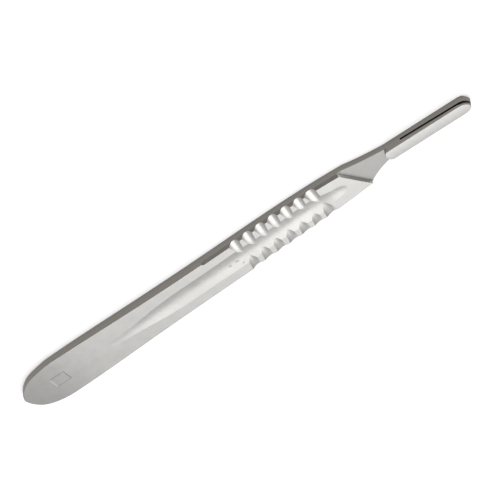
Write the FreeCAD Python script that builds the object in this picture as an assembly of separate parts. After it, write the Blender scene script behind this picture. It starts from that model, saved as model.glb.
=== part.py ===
"""Scalpel handle: one flat bar of stainless steel that takes a detachable blade.

Millimetres. The handle lies flat on its back, face up: X runs along it from the butt to the
tip of the tang, Y across it, and Z up from the flat back. It is drawn from the butt, and then
moved so that the origin is under the middle of its length.
"""
import FreeCAD
import Part
import math
import os

Vector = FreeCAD.Vector

# Lengths along the handle, one stretch after the other from the butt
shank_length = 58.4
grip_length = 42.55
neck_length = 9.75
tang_length = 24.6

# Half widths of the plan outline, from the butt to the two corners of the shoulder
butt_half_width = 5.87
shank_half_width = 5.38
grip_half_width = 5.0
grip_end_half_width = 4.66
shoulder_half_width = 4.0

# The butt: two curved sides that meet at a soft point a little off the centre line
butt_length = 12.0
butt_tip_offset = 0.4
butt_tip_radius = 0.5
shank_waist_station = 33.4

# Points of the two curves of the butt: share of its length, share of the way out to its side
butt_left_shape = ((0.082, 0.33), (0.156, 0.488), (0.273, 0.671), (0.395, 0.797), (0.65, 0.92))
butt_right_shape = ((0.05, 0.33), (0.112, 0.504), (0.19, 0.66), (0.34, 0.82), (0.6, 0.955))

# Thicknesses: the shank thins towards the butt, in one long curve on the face and one on the back
butt_thickness = 1.75
grip_thickness = 2.82
tang_thickness = 3.1
face_taper_end = 68.0
back_taper_end = 44.0
edge_radius = 0.2

# The step where the face drops to the neck, slanted like the heel of a blade
shoulder_angle = 30.0
shoulder_draft = 12.0

# The neck: its thickness, where its two sides start, and points on them
neck_thickness = 1.85
neck_left_start = -0.5
neck_right_start = 1.7
neck_left_bend = 3.0
neck_left_bend_width = 3.2
neck_waist_gap = 4.4
neck_left_waist_width = 2.78
neck_right_waist_width = 2.3

# The tang, a bar with a rounded root and a longer rounded tip, turned a little off the axis
tang_width = 3.06
tang_root_radius = 1.35
tang_tip_length = 2.6
tang_yaw = -2.15
tang_root_offset = 0.5
tang_edge_chamfer = 0.12
tang_tip_run = 1.3
tang_tip_rise = 0.75

# The groove down each side of the tang, which holds the edges of the blade's slot
groove_height = 0.62
groove_depth = 0.72
groove_lead = 5.2
groove_root_height = 1.35
groove_rise = 1.5

# The long channel in the face: a shallow round trough that fades in and out
channel_start = 17.6
channel_full_station = 49.5
channel_end_gap = 2.8
channel_half_width = 2.4
channel_depth = 0.42

# How the channel fades: share of the way from its end to full depth, share of that depth
channel_fade_in = ((0.0, 0.01), (0.22, 0.045), (0.38, 0.15), (0.54, 0.33), (0.7, 0.65),
                   (0.86, 0.93), (1.0, 1.0))
channel_fade_out = ((0.0, 0.02), (0.17, 0.25), (0.45, 0.4), (0.75, 0.68), (1.0, 1.0))
channel_level_sections = 4

# The bevel along both edges of the face, beside the grip scoops
bevel_left_width = 0.47
bevel_right_width = 0.35
bevel_left_lead = 0.0
bevel_right_lead = 8.1
bevel_height = 0.8

# The grip scoops, one row on each edge; the last pair is larger and meets in the middle
scoop_count = 7
scoop_pitch = 3.83
scoop_lead = 9.1
scoop_radius = 2.0
scoop_edge_depth = 0.82
scoop_inner_depth = 0.34
scoop_reach = 3.75
scoop_bend = 3.0
last_scoop_radius = 2.2
last_scoop_edge_depth = 0.95
last_scoop_inner_depth = 0.42
last_scoop_reach = 4.7
last_scoop_bend = 3.6
scoop_turn = 8.0
last_scoop_turn = 4.0

# The blank rectangle stamped in the face near the butt
stamp_length = 4.4
stamp_width = 3.2
stamp_depth = 0.16
stamp_wall_run = 0.3
stamp_station = 10.6

# Stations worked out from the lengths
grip_station = shank_length
shoulder_station = shank_length + grip_length
tang_station = shoulder_station + neck_length
overall_length = tang_station + tang_length
first_scoop_station = grip_station + scoop_lead
last_scoop_station = first_scoop_station + (scoop_count - 1) * scoop_pitch
channel_end = shoulder_station - channel_end_gap

# Room that every cutter has beyond the metal it cuts
clear = 2.0
LEFT, RIGHT = 1, -1


def taper_radius(taper_end):
    """Radius of the long curve that leaves the flat at a station and ends at the butt."""
    rise = (grip_thickness - butt_thickness) / 2
    return (taper_end ** 2 + rise ** 2) / (2 * rise)


def taper_drop(station, taper_end):
    """How far the curve has come in at a station, on its way to the butt."""
    radius = taper_radius(taper_end)
    run = max(0.0, taper_end - station)
    return radius - math.sqrt(radius ** 2 - run ** 2)


def face_height(station):
    """Height of the face above the flat back, at a station along the handle."""
    return grip_thickness - taper_drop(station, face_taper_end)


def edge_half_width(station):
    """Half width of the grip at a station, between its two ends."""
    along = (station - grip_station) / (last_scoop_station - grip_station)
    return grip_half_width + (grip_end_half_width - grip_half_width) * along


def smooth_curve(points, start_tangent=None):
    """Curve through the points, with a set direction at its start where one is given."""
    curve = Part.BSplineCurve()
    if start_tangent is None:
        curve.interpolate(points)
    else:
        curve.interpolate(Points=points, Tangents=[start_tangent] + [Vector()] * (len(points) - 1),
                          TangentFlags=[True] + [False] * (len(points) - 1))
    return curve


def butt_curve(side):
    """Side of the butt from its widest station to its point."""
    shape = butt_left_shape if side == LEFT else butt_right_shape
    across = side * butt_half_width - butt_tip_offset
    points = [Vector(butt_length, side * butt_half_width, 0)]
    points += [Vector(butt_length * along, butt_tip_offset + across * out, 0)
               for along, out in reversed(shape)]
    points.append(Vector(0, butt_tip_offset, 0))
    return smooth_curve(points, Vector(-1, 0, 0))


def body_curve(side):
    """Side of the outline from the widest station of the butt to the start of the neck."""
    neck_start = neck_left_start if side == LEFT else neck_right_start
    points = [Vector(butt_length, side * butt_half_width, 0),
              Vector(shank_waist_station, side * shank_half_width, 0),
              Vector(grip_station, side * grip_half_width, 0),
              Vector(last_scoop_station, side * grip_end_half_width, 0),
              Vector(shoulder_station + neck_start, side * shoulder_half_width, 0)]
    return smooth_curve(points, Vector(1, 0, 0))


def neck_curve(side, start, end):
    """Concave side of the neck, from the body's corner into the root of the tang."""
    waist = tang_station - neck_waist_gap
    if side == LEFT:
        middle = [Vector(shoulder_station + neck_left_bend, neck_left_bend_width, 0),
                  Vector(waist, neck_left_waist_width, 0)]
    else:
        middle = [Vector(waist, -neck_right_waist_width, 0)]
    return smooth_curve([start] + middle + [end])


def tang_place():
    """Place of the tang: its own origin is at its root, on its centre line."""
    turn = FreeCAD.Rotation(Vector(0, 0, 1), tang_yaw)
    return FreeCAD.Placement(Vector(tang_station, tang_root_offset, 0), turn)


def body_and_neck():
    """The bar from the butt to inside the root of the tang, before anything is cut in it."""
    edges = []
    ends = []
    for side in (LEFT, RIGHT):
        body = body_curve(side)
        end = tang_place().multVec(Vector(tang_root_radius, side * tang_width / 2, 0))
        edges += [butt_curve(side).toShape(), body.toShape(),
                  neck_curve(side, body.EndPoint, end).toShape()]
        ends.append(end)
    edges.append(Part.makeLine(*ends))
    outline = Part.Wire(Part.__sortEdges__(edges))
    bar = Part.Face(outline).extrude(Vector(0, 0, grip_thickness))
    bar = round_butt(bar)
    bar = bar.common(side_view())
    return soften_edges(bar)


def side_view():
    """Block with the handle's shape from the side, wider than the handle."""
    half = butt_half_width + clear
    under = [Vector(station, -half, taper_drop(station, back_taper_end))
             for station in (-clear, back_taper_end / 2, back_taper_end)]
    over = [Vector(station, -half, face_height(station))
            for station in (-clear, face_taper_end / 2, face_taper_end)]
    far_under = Vector(overall_length, -half, 0)
    far_over = Vector(overall_length, -half, grip_thickness)
    outline = Part.Wire([Part.Arc(*under).toShape(), Part.makeLine(under[-1], far_under),
                         Part.makeLine(far_under, far_over), Part.makeLine(far_over, over[-1]),
                         Part.Arc(*reversed(over)).toShape(), Part.makeLine(over[0], under[0])])
    return Part.Face(outline).extrude(Vector(0, 2 * half, 0))


def round_butt(bar):
    """Round the upright edge at the point of the butt."""
    corner = [edge for edge in bar.Edges
              if edge.BoundBox.ZLength > grip_thickness / 2
              and abs(edge.Vertexes[0].X) < edge_radius]
    return bar.makeFillet(butt_tip_radius, corner)


def soften_edges(bar):
    """Round the long edges of the bar, where its walls meet its two faces."""
    long_edges = []
    for edge in bar.Edges:
        box = edge.BoundBox
        flat = box.ZLength < grip_thickness / 2
        crease = abs(edge.Vertexes[0].X - edge.Vertexes[-1].X) < edge_radius and box.YLength > clear
        if flat and not crease:
            long_edges.append(edge)
    return bar.makeFillet(edge_radius, long_edges)


def neck_cutter():
    """Everything above the neck, from the slanted shoulder on."""
    half = butt_half_width + clear
    slant = math.tan(math.radians(shoulder_angle))
    run = math.tan(math.radians(shoulder_draft)) / math.cos(math.radians(shoulder_angle))
    far = overall_length + clear

    def outline(level):
        near = shoulder_station + (grip_thickness - level) * run
        corners = [Vector(near - half * slant, half, level), Vector(near + half * slant, -half, level),
                   Vector(far, -half, level), Vector(far, half, level)]
        return Part.makePolygon(corners + corners[:1])

    return Part.makeLoft([outline(neck_thickness), outline(grip_thickness + clear)], True, True)


def bevel_cutter(side):
    """Wedge outside the bevel along one edge of the face, over the grip."""
    curve = body_curve(side)
    lead = bevel_left_lead if side == LEFT else bevel_right_lead
    first = curve.parameter(Vector(grip_station + lead, side * grip_half_width, 0))
    wall = curve.toShape(first, curve.LastParameter)
    outer = side * (grip_half_width + clear)
    foot = grip_thickness - bevel_height
    slope = (bevel_left_width if side == LEFT else bevel_right_width) / bevel_height

    def outline(level):
        edge = wall.copy()
        edge.translate(Vector(0, -side * slope * level, foot + level))
        start, end = edge.valueAt(edge.FirstParameter), edge.valueAt(edge.LastParameter)
        corners = [end, Vector(end.x + clear, outer, end.z),
                   Vector(start.x - abs(outer - start.y), outer, start.z), start]
        lines = [Part.makeLine(a, b) for a, b in zip(corners, corners[1:])]
        return Part.Wire([edge] + lines)

    return Part.makeLoft([outline(0), outline(bevel_height + clear)], True, True)


def channel_section(station, depth):
    """Outline of the channel's cutter at a station: an arc under a flat top."""
    radius = (channel_half_width ** 2 + channel_depth ** 2) / (2 * channel_depth)
    lift = channel_depth
    half_chord = math.sqrt(radius ** 2 - (radius - depth - lift) ** 2)
    level = face_height(station)
    left = Vector(station, half_chord, level + lift)
    low = Vector(station, 0, level - depth)
    right = Vector(station, -half_chord, level + lift)
    top_right = Vector(station, -half_chord, level + clear)
    top_left = Vector(station, half_chord, level + clear)
    return Part.Wire([Part.Arc(left, low, right).toShape(), Part.makeLine(right, top_right),
                      Part.makeLine(top_right, top_left), Part.makeLine(top_left, left)])


def channel_cutter():
    """The trough down the face: it widens from a point, runs level and comes up again."""
    sections = [(channel_start + (channel_full_station - channel_start) * along, depth)
                for along, depth in channel_fade_in]
    gap = (last_scoop_station - channel_full_station) / channel_level_sections
    sections += [(channel_full_station + gap * number, 1.0)
                 for number in range(1, channel_level_sections)]
    sections += [(channel_end - (channel_end - last_scoop_station) * along, depth)
                 for along, depth in reversed(channel_fade_out)]
    wires = [channel_section(station, channel_depth * depth) for station, depth in sections]
    return Part.makeLoft(wires, True, False)


def scoop_cutter(side, radius, reach, bend, edge_depth, inner_depth):
    """Round cutter of one scoop: level at its inner end, then bending down to the grip's edge.

    It is drawn across the handle, with its origin under the edge.
    """
    path_radius = bend ** 2 / (2 * (edge_depth - inner_depth)) + radius
    level = grip_thickness - inner_depth + radius

    def on_bend(run):
        drop = path_radius - math.sqrt(path_radius ** 2 - run ** 2)
        return Vector(0, side * (run - bend), level - drop)

    start = Vector(0, -side * reach, level)
    run = bend + radius
    arc = Part.Arc(on_bend(0), on_bend(run / 2), on_bend(run))
    path = Part.Wire([Part.makeLine(start, on_bend(0)), arc.toShape()])
    ring = Part.Wire([Part.makeCircle(radius, start, Vector(0, side, 0))])
    return path.makePipeShell([ring], True, False)


def scoop_cutters():
    """Both rows of scoops."""
    cutters = []
    for number in range(scoop_count):
        station = first_scoop_station + number * scoop_pitch
        last = number == scoop_count - 1
        turn = FreeCAD.Rotation(Vector(0, 0, 1), -(last_scoop_turn if last else scoop_turn))
        for side in (LEFT, RIGHT):
            if last:
                cutter = scoop_cutter(side, last_scoop_radius, last_scoop_reach, last_scoop_bend,
                                      last_scoop_edge_depth, last_scoop_inner_depth)
                reach = last_scoop_reach
            else:
                cutter = scoop_cutter(side, scoop_radius, scoop_reach, scoop_bend,
                                      scoop_edge_depth, scoop_inner_depth)
                reach = scoop_reach
            middle = Vector(station, side * (edge_half_width(station) - reach / 2), 0)
            edge = middle + turn.multVec(Vector(0, side * reach / 2, 0))
            cutter.Placement = FreeCAD.Placement(edge, turn)
            cutters.append(cutter)
    return cutters


def stamp_cutter():
    """A shallow rectangle with sloping walls, pressed into the face, with nothing in it."""
    tilt = math.asin((face_taper_end - stamp_station) / taper_radius(face_taper_end))
    slope = stamp_wall_run / stamp_depth

    def outline(level):
        half_length = stamp_length / 2 + level * slope
        half_width = stamp_width / 2 + level * slope
        corners = [Vector(-half_length, -half_width, level), Vector(half_length, -half_width, level),
                   Vector(half_length, half_width, level), Vector(-half_length, half_width, level)]
        return Part.makePolygon(corners + corners[:1])

    cutter = Part.makeLoft([outline(-stamp_depth), outline(stamp_depth)], True, True)
    turn = FreeCAD.Rotation(Vector(0, 1, 0), -math.degrees(tilt))
    cutter.Placement = FreeCAD.Placement(Vector(stamp_station, 0, face_height(stamp_station)), turn)
    return cutter


def tang():
    """The bar that carries the blade, with its two grooves, in the place it has on the neck."""
    half = tang_width / 2
    tip_start = tang_length - tang_tip_length
    tip = Part.Ellipse(Vector(tip_start, 0, 0), tang_tip_length, half)
    corners = [Vector(tip_start, half, 0), Vector(0, half, 0), Vector(0, -half, 0),
               Vector(tip_start, -half, 0)]
    edges = [Part.makeLine(a, b) for a, b in zip(corners, corners[1:])]
    edges.append(Part.ArcOfEllipse(tip, -math.pi / 2, math.pi / 2).toShape())
    bar = Part.Face(Part.Wire(edges)).extrude(Vector(0, 0, tang_thickness))
    root = [edge for edge in bar.Edges
            if edge.BoundBox.ZLength > tang_thickness / 2 and edge.Vertexes[0].X < edge_radius]
    bar = bar.makeFillet(tang_root_radius, root)
    top = [edge for edge in bar.Edges if edge.BoundBox.ZMin > tang_thickness / 2]
    bar = bar.makeChamfer(tang_edge_chamfer, top)
    bar = bar.cut(under_tip_cutter())
    for side in (LEFT, RIGHT):
        bar = bar.cut(groove_cutter(side))
    bar.Placement = tang_place()
    return bar


def under_tip_cutter():
    """Wedge under the tip of the tang, where its back is ground away."""
    slope = tang_tip_rise / tang_tip_run
    corners = [Vector(tang_length - tang_tip_run - clear, -tang_width, -clear * slope),
               Vector(tang_length + clear, -tang_width, -clear * slope),
               Vector(tang_length + clear, -tang_width, (tang_tip_run + clear) * slope)]
    return Part.Face(Part.makePolygon(corners + corners[:1])).extrude(Vector(0, 2 * tang_width, 0))


def groove_cutter(side):
    """Slot in one side of the tang, open at the tip and rising a little towards it."""
    length = tang_length - groove_lead + clear
    inner = side * (tang_width / 2 - groove_depth)
    outer = side * (tang_width / 2 + clear)
    slot = Part.makeBox(length, abs(outer - inner), groove_height,
                        Vector(0, min(inner, outer), 0))
    turn = FreeCAD.Rotation(Vector(0, 1, 0), -groove_rise)
    slot.Placement = FreeCAD.Placement(Vector(groove_lead, 0, groove_root_height), turn)
    return slot


def handle():
    """The whole handle, with its origin under the middle of its length."""
    solid = body_and_neck()
    solid = solid.cut([neck_cutter(), bevel_cutter(LEFT), bevel_cutter(RIGHT)])
    solid = solid.cut(channel_cutter())
    solid = solid.cut(scoop_cutters())
    solid = solid.cut(stamp_cutter())
    solid = solid.fuse(tang()).removeSplitter()
    solid.translate(Vector(-overall_length / 2, 0, 0))
    return solid


os.makedirs("parts", exist_ok=True)
shape = handle()
shape.exportStep("parts/handle.step")
print("solids", len(shape.Solids), "valid", shape.isValid(), "volume", round(shape.Volume, 1))
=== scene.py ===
import math
import bpy
from mathutils import Matrix, Vector

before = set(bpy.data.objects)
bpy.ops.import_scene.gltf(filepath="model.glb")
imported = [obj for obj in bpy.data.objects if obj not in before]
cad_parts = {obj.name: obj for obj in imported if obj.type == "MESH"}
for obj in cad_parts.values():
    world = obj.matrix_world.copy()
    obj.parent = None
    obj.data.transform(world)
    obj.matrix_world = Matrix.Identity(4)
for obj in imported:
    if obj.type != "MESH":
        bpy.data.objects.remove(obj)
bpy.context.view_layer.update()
scene = bpy.context.scene
scene.view_settings.view_transform = "Standard"
MM = 0.001

# The view: from the handle to the camera, the picture's right, and the point at its centre
to_camera = Vector((0.4038, 0.5833, 0.7042)).normalized()
rightwards = Vector((0.7568, -0.6455, 0.1007))
centre_point = Vector((0.356, -1.12, 0.846)) * MM
picture_width = 115.66 * MM
lens = 1500.0
sensor = 36.0

# The lamp over the handle, and the room's brightness: its level, and its change along Y and Z
lamp_place = (0.0, -0.12, 0.6)
lamp_size = 0.65
lamp_power = 1.3
room_level = 0.45
room_along_y = -0.2
room_along_z = 0.42

# The floor: half its side, its gap under the handle, its grey, and the glow that makes it white
floor_half = 3.0
floor_gap = 0.01 * MM
floor_grey = (0.82, 0.82, 0.82, 1.0)
floor_glow = 0.5

# The tang's place in the handle's frame, and the grooves in its two sides, which get painted
# shade
tang_root = Vector((43.05, 0.5, 0.0)) * MM
tang_turn = math.radians(2.15)
tang_half_width = 1.5 * MM
groove_start = 5.2 * MM
groove_fade = 1.2 * MM
groove_floor = 1.35 * MM
groove_top = 1.97 * MM
groove_rise = math.tan(math.radians(1.5))
groove_margin = 0.01 * MM
groove_inset = 0.03 * MM

# Places along the handle where its painted light and shade change, the face's half width, the
# neck's height
butt_x = -67.0 * MM
shank_x = -42.0 * MM
grip_x = 30.0 * MM
shoulder_start = 28.0 * MM
shoulder_end = 40.0 * MM
face_half_width = 5.0 * MM
neck_height = 1.85 * MM
mask_soft = 0.02 * MM

# Brightness of the steel, with painted light and shade: the face, how far it differs across, the
# tang's two edges, and the painted shade on the walls
butt_painted_shade = 0.42
shank_brightness = 0.62
grip_painted_light = 0.08
painted_far_shade, painted_near_light = 0.96, 1.03
painted_tang_far_shade, painted_tang_near_light = 0.5, 0.72
painted_wall_shade = 0.22

# Shares of that brightness which the neck and the grooves keep as painted shade, and the dents
# keep as wear
neck_shade_share = 0.66
dent_share = 0.68
groove_shade_share = 0.09

# Tint of the walls and of the ground faces, and how rough each is
wall_tint = (1.03, 0.97, 0.89)
face_tint = (1.0, 0.992, 0.965)
wall_roughness = 0.48
face_roughness = 0.34

# Scales of the noises, the stretch of the grinding lines, and the range that noise mostly fills
mottle_scale = 420.0
line_scale = 900.0
relief_scale = 900.0
rag_scale = 2500.0
grain_scale = 2600.0
line_stretch = (6.0, 0.6, 0.6)
noise_low, noise_high = 0.3, 0.7

# Small dents in the channel, in millimetres: place along and across, reach along
dents = ((-5.4, -0.55, 0.5), (-3.3, -0.5, 0.7), (-2.3, -1.7, 0.4))
dent_half_width = 0.25 * MM
dent_full, dent_edge = 0.4, 1.3


class Nodes:
    """Short calls that add nodes to one material or world and link them."""

    def __init__(self, tree):
        self.tree = tree
        tree.nodes.clear()

    def add(self, kind, inputs=None, **settings):
        """Node of a kind, with its settings, and its inputs set or linked."""
        node = self.tree.nodes.new(kind)
        for name, value in settings.items():
            setattr(node, name, value)
        for name, value in (inputs or {}).items():
            self.put(node.inputs[name], value)
        return node

    def put(self, socket, value):
        """Link an output to the socket, or set the socket's own value."""
        if isinstance(value, bpy.types.NodeSocket):
            self.tree.links.new(value, socket)
        else:
            socket.default_value = value

    def math(self, operation, *values):
        """Result of one operation on numbers or outputs."""
        node = self.add("ShaderNodeMath", operation=operation)
        for socket, value in zip(node.inputs, values):
            self.put(socket, value)
        return node.outputs[0]

    def times(self, first, *others):
        """Product of all the values."""
        for other in others:
            first = self.math("MULTIPLY", first, other)
        return first

    def plus(self, first, *others):
        """Sum of all the values."""
        for other in others:
            first = self.math("ADD", first, other)
        return first

    def ramp(self, value, low, high, to_low=0.0, to_high=1.0, kind="SMOOTHSTEP"):
        """Value mapped from one range to another and held at its ends, with a smooth rise."""
        node = self.add("ShaderNodeMapRange", {"Value": value, "From Min": low, "From Max": high,
                                               "To Min": to_low, "To Max": to_high},
                        interpolation_type=kind)
        return node.outputs[0]

    def slope(self, value, low, high, to_low, to_high):
        """Value mapped from one range to another and held at its ends, in a straight line."""
        return self.ramp(value, low, high, to_low, to_high, "LINEAR")

    def between(self, share, first, second):
        """Number that goes from the first to the second as the share rises from 0 to 1."""
        return self.slope(share, 0.0, 1.0, first, second)

    def spread(self, noise, least, most):
        """Noise spread over the numbers from the least to the most."""
        return self.slope(noise, noise_low, noise_high, least, most)

    def band(self, value, low, high, soft):
        """1 between low and high, falling to 0 over the soft distance on both sides."""
        rise = self.ramp(value, low - soft, low)
        fall = self.ramp(value, high, high + soft, 1.0, 0.0)
        return self.times(rise, fall)

    def blend(self, share, first, second):
        """Output that goes from the first to the second as the share rises from 0 to 1."""
        rest = self.math("SUBTRACT", 1.0, share)
        return self.plus(self.times(share, second), self.times(rest, first))

    def noise(self, place, scale, detail=2.0, stretch=(1.0, 1.0, 1.0)):
        """Noise of a scale at a place, with each axis multiplied by its stretch."""
        sized = self.add("ShaderNodeMapping", {"Vector": place, "Scale": stretch})
        node = self.add("ShaderNodeTexNoise", {"Vector": sized.outputs[0], "Scale": scale,
                                               "Detail": detail})
        return node.outputs["Fac"]

    def tinted(self, value, share, first, second):
        """Colour of a brightness, with a tint that goes from the first to the second."""
        node = self.add("ShaderNodeCombineColor")
        for socket, low, high in zip(node.inputs, first, second):
            self.put(socket, self.times(value, self.between(share, low, high)))
        return node.outputs[0]


def tang_position(n, x, y):
    """Distances along and across the tang, from its root."""
    from_root = n.math("SUBTRACT", x, tang_root.x)
    aside = n.math("SUBTRACT", y, tang_root.y)
    along = n.math("SUBTRACT", n.times(from_root, math.cos(tang_turn)),
                   n.times(aside, math.sin(tang_turn)))
    across = n.plus(n.times(from_root, math.sin(tang_turn)), n.times(aside, math.cos(tang_turn)))
    return along, across


def groove_shade_mask(n, along, across, z):
    """1 inside the two grooves of the tang, with a soft start: where painted shade darkens them.
    """
    level = n.math("SUBTRACT", z, n.times(along, groove_rise))
    in_height = n.band(level, groove_floor - groove_margin, groove_top + groove_margin, mask_soft)
    in_depth = n.ramp(n.math("ABSOLUTE", across), tang_half_width, tang_half_width + groove_inset,
                      1.0, 0.0)
    return n.times(in_height, in_depth, n.ramp(along, groove_start, groove_start + groove_fade))


def dent_mask(n, where, x, y):
    """1 inside the small dents, whose edges are a little ragged."""
    rag = n.spread(n.noise(where, rag_scale, 1.0), -0.5, 0.5)
    mask = 0.0
    for dent_x, dent_y, reach in dents:
        away = n.math("DIVIDE", n.math("SUBTRACT", x, dent_x * MM), reach * MM)
        off = n.math("DIVIDE", n.math("SUBTRACT", y, dent_y * MM), dent_half_width)
        far = n.plus(n.math("POWER", away, 2.0), n.math("POWER", off, 2.0), rag)
        mask = n.math("MAXIMUM", mask, n.ramp(far, dent_full, dent_edge, 1.0, 0.0))
    return mask


def steel():
    """Satin steel: ground faces with painted light and shade, rougher walls with painted shade,
    painted shade in the grooves, and the marks of use.
    """
    material = bpy.data.materials.new("satin_steel")
    material.use_nodes = True
    n = Nodes(material.node_tree)
    place = n.add("ShaderNodeTexCoord")
    where = place.outputs["Object"]
    x, y, z = n.add("ShaderNodeSeparateXYZ", {0: where}).outputs
    ahead, _, facing = n.add("ShaderNodeSeparateXYZ", {0: place.outputs["Normal"]}).outputs
    along, across = tang_position(n, x, y)
    on_tang = n.ramp(along, -0.2 * MM, 0.2 * MM)
    groove_painted_shade = groove_shade_mask(n, along, across, z)
    in_dent = dent_mask(n, where, x, y)

    # How well each surface is ground, which sets roughness and tint, and where light and shade
    # are painted: faces and the shoulder's slope get painted light, walls get painted shade
    shoulder_painted_light = n.times(n.band(x, shoulder_start, shoulder_end, 0.5 * MM),
                          n.ramp(ahead, 0.5, 0.7),
                          n.ramp(z, neck_height, neck_height + 0.05 * MM))
    polish_and_painted_light = n.math("MAXIMUM", n.ramp(facing, 0.35, 0.97), shoulder_painted_light)
    # The neck's top gets painted shade
    neck_level = n.band(z, neck_height - 0.15 * MM, neck_height + 0.1 * MM, mask_soft)
    neck_painted_shade = n.times(n.ramp(x, grip_x, grip_x + 1.0 * MM), neck_level, n.ramp(facing, 0.8, 0.95))

    # Brightness of the ground faces with painted light and shade: darker at the butt, brighter
    # towards the grip and the near side, graded across the tang, and painted shade on the neck
    face = n.plus(n.ramp(x, butt_x, shank_x, butt_painted_shade, shank_brightness),
                  n.slope(x, shank_x, grip_x, 0.0, grip_painted_light))
    face = n.times(face, n.slope(y, -face_half_width, face_half_width, painted_far_shade, painted_near_light))
    tang_painted_light = n.slope(across, -tang_half_width, tang_half_width, painted_tang_far_shade, painted_tang_near_light)
    face = n.times(n.blend(on_tang, face, tang_painted_light), n.between(neck_painted_shade, 1.0, neck_shade_share))
    # Painted shade on the walls, painted light on the faces and the shoulder's slope
    bright = n.blend(polish_and_painted_light, painted_wall_shade, face)

    # Mottling, fine grain, grinding lines across the tang, dents, and painted shade in the
    # grooves
    mottle = n.noise(where, mottle_scale, 3.0)
    grain = n.noise(where, grain_scale)
    lines = n.noise(where, line_scale, 3.0, line_stretch)
    streak = n.times(on_tang, n.spread(lines, -0.05, 0.05))
    bright = n.times(bright, n.spread(mottle, 0.965, 1.03), n.spread(grain, 0.97, 1.03),
                     n.plus(1.0, streak), n.between(in_dent, 1.0, dent_share),
                     n.between(groove_painted_shade, 1.0, groove_shade_share))

    # Roughness and a very small relief
    rough = n.plus(n.between(polish_and_painted_light, wall_roughness, face_roughness),
                   n.spread(mottle, -0.03, 0.03))
    relief = n.plus(n.times(n.noise(where, relief_scale), 0.6), n.times(on_tang, lines, 0.5))
    relief = n.math("SUBTRACT", relief, in_dent)
    bump = n.add("ShaderNodeBump", {"Height": relief, "Strength": 0.25, "Distance": 0.01 * MM})
    shader = n.add("ShaderNodeBsdfPrincipled",
                   {"Base Color": n.tinted(bright, polish_and_painted_light, wall_tint, face_tint),
                    "Metallic": 1.0, "Roughness": rough, "Normal": bump.outputs[0]})
    n.add("ShaderNodeOutputMaterial", {"Surface": shader.outputs[0]})
    return material


def white_floor():
    """Pale floor that shows as white round the handle and keeps its soft shadow."""
    material = bpy.data.materials.new("pale_floor")
    material.use_nodes = True
    n = Nodes(material.node_tree)
    ray = n.add("ShaderNodeLightPath").outputs
    seen = n.math("MAXIMUM", ray["Is Camera Ray"],
                  n.math("MAXIMUM", ray["Is Glossy Ray"], ray["Is Transmission Ray"]))
    lift = n.add("ShaderNodeEmission", {"Strength": n.times(seen, floor_glow)})
    matt = n.add("ShaderNodeBsdfDiffuse", {"Color": floor_grey})
    both = n.add("ShaderNodeAddShader", {0: matt.outputs[0], 1: lift.outputs[0]})
    n.add("ShaderNodeOutputMaterial", {"Surface": both.outputs[0]})
    return material


def studio_world():
    """Soft room light, brighter overhead and towards the far side of the handle."""
    world = bpy.data.worlds.new("studio")
    world.use_nodes = True
    scene.world = world
    n = Nodes(world.node_tree)
    way = n.add("ShaderNodeTexCoord").outputs["Generated"]
    _, y, z = n.add("ShaderNodeSeparateXYZ", {0: way}).outputs
    level = n.plus(n.times(y, room_along_y), n.times(z, room_along_z), room_level)
    back = n.add("ShaderNodeBackground", {"Strength": level})
    n.add("ShaderNodeOutputWorld", {"Surface": back.outputs[0]})


def softbox():
    """Square lamp over the handle, which isn't seen itself."""
    data = bpy.data.lights.new("overhead", "AREA")
    data.shape = "SQUARE"
    data.size = lamp_size
    data.energy = lamp_power
    lamp = bpy.data.objects.new("overhead", data)
    scene.collection.objects.link(lamp)
    lamp.location = lamp_place
    lamp.rotation_euler = (-Vector(lamp_place)).to_track_quat("-Z", "Y").to_euler()
    lamp.visible_camera = False


def make_floor():
    """Large flat floor that the handle lies on."""
    half = floor_half
    mesh = bpy.data.meshes.new("floor")
    corners = [(-half, -half, 0), (half, -half, 0), (half, half, 0), (-half, half, 0)]
    mesh.from_pydata(corners, [], [(0, 1, 2, 3)])
    mesh.materials.append(white_floor())
    floor = bpy.data.objects.new("floor", mesh)
    scene.collection.objects.link(floor)
    floor.location.z = -floor_gap


def make_camera():
    """Long lens at the angle of the photograph."""
    data = bpy.data.cameras.new("camera")
    data.sensor_width = sensor
    data.lens = lens
    data.clip_start = 0.1
    data.clip_end = 50.0
    camera = bpy.data.objects.new("camera", data)
    scene.collection.objects.link(camera)
    right = (rightwards - to_camera * rightwards.dot(to_camera)).normalized()
    turn = Matrix((right, to_camera.cross(right), to_camera)).transposed()
    distance = picture_width * lens / sensor
    camera.matrix_world = Matrix.Translation(centre_point + to_camera * distance) @ turn.to_4x4()
    scene.camera = camera


make_camera()
make_floor()
studio_world()
softbox()

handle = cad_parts["handle"]
for slot in handle.material_slots:
    slot.material = steel()
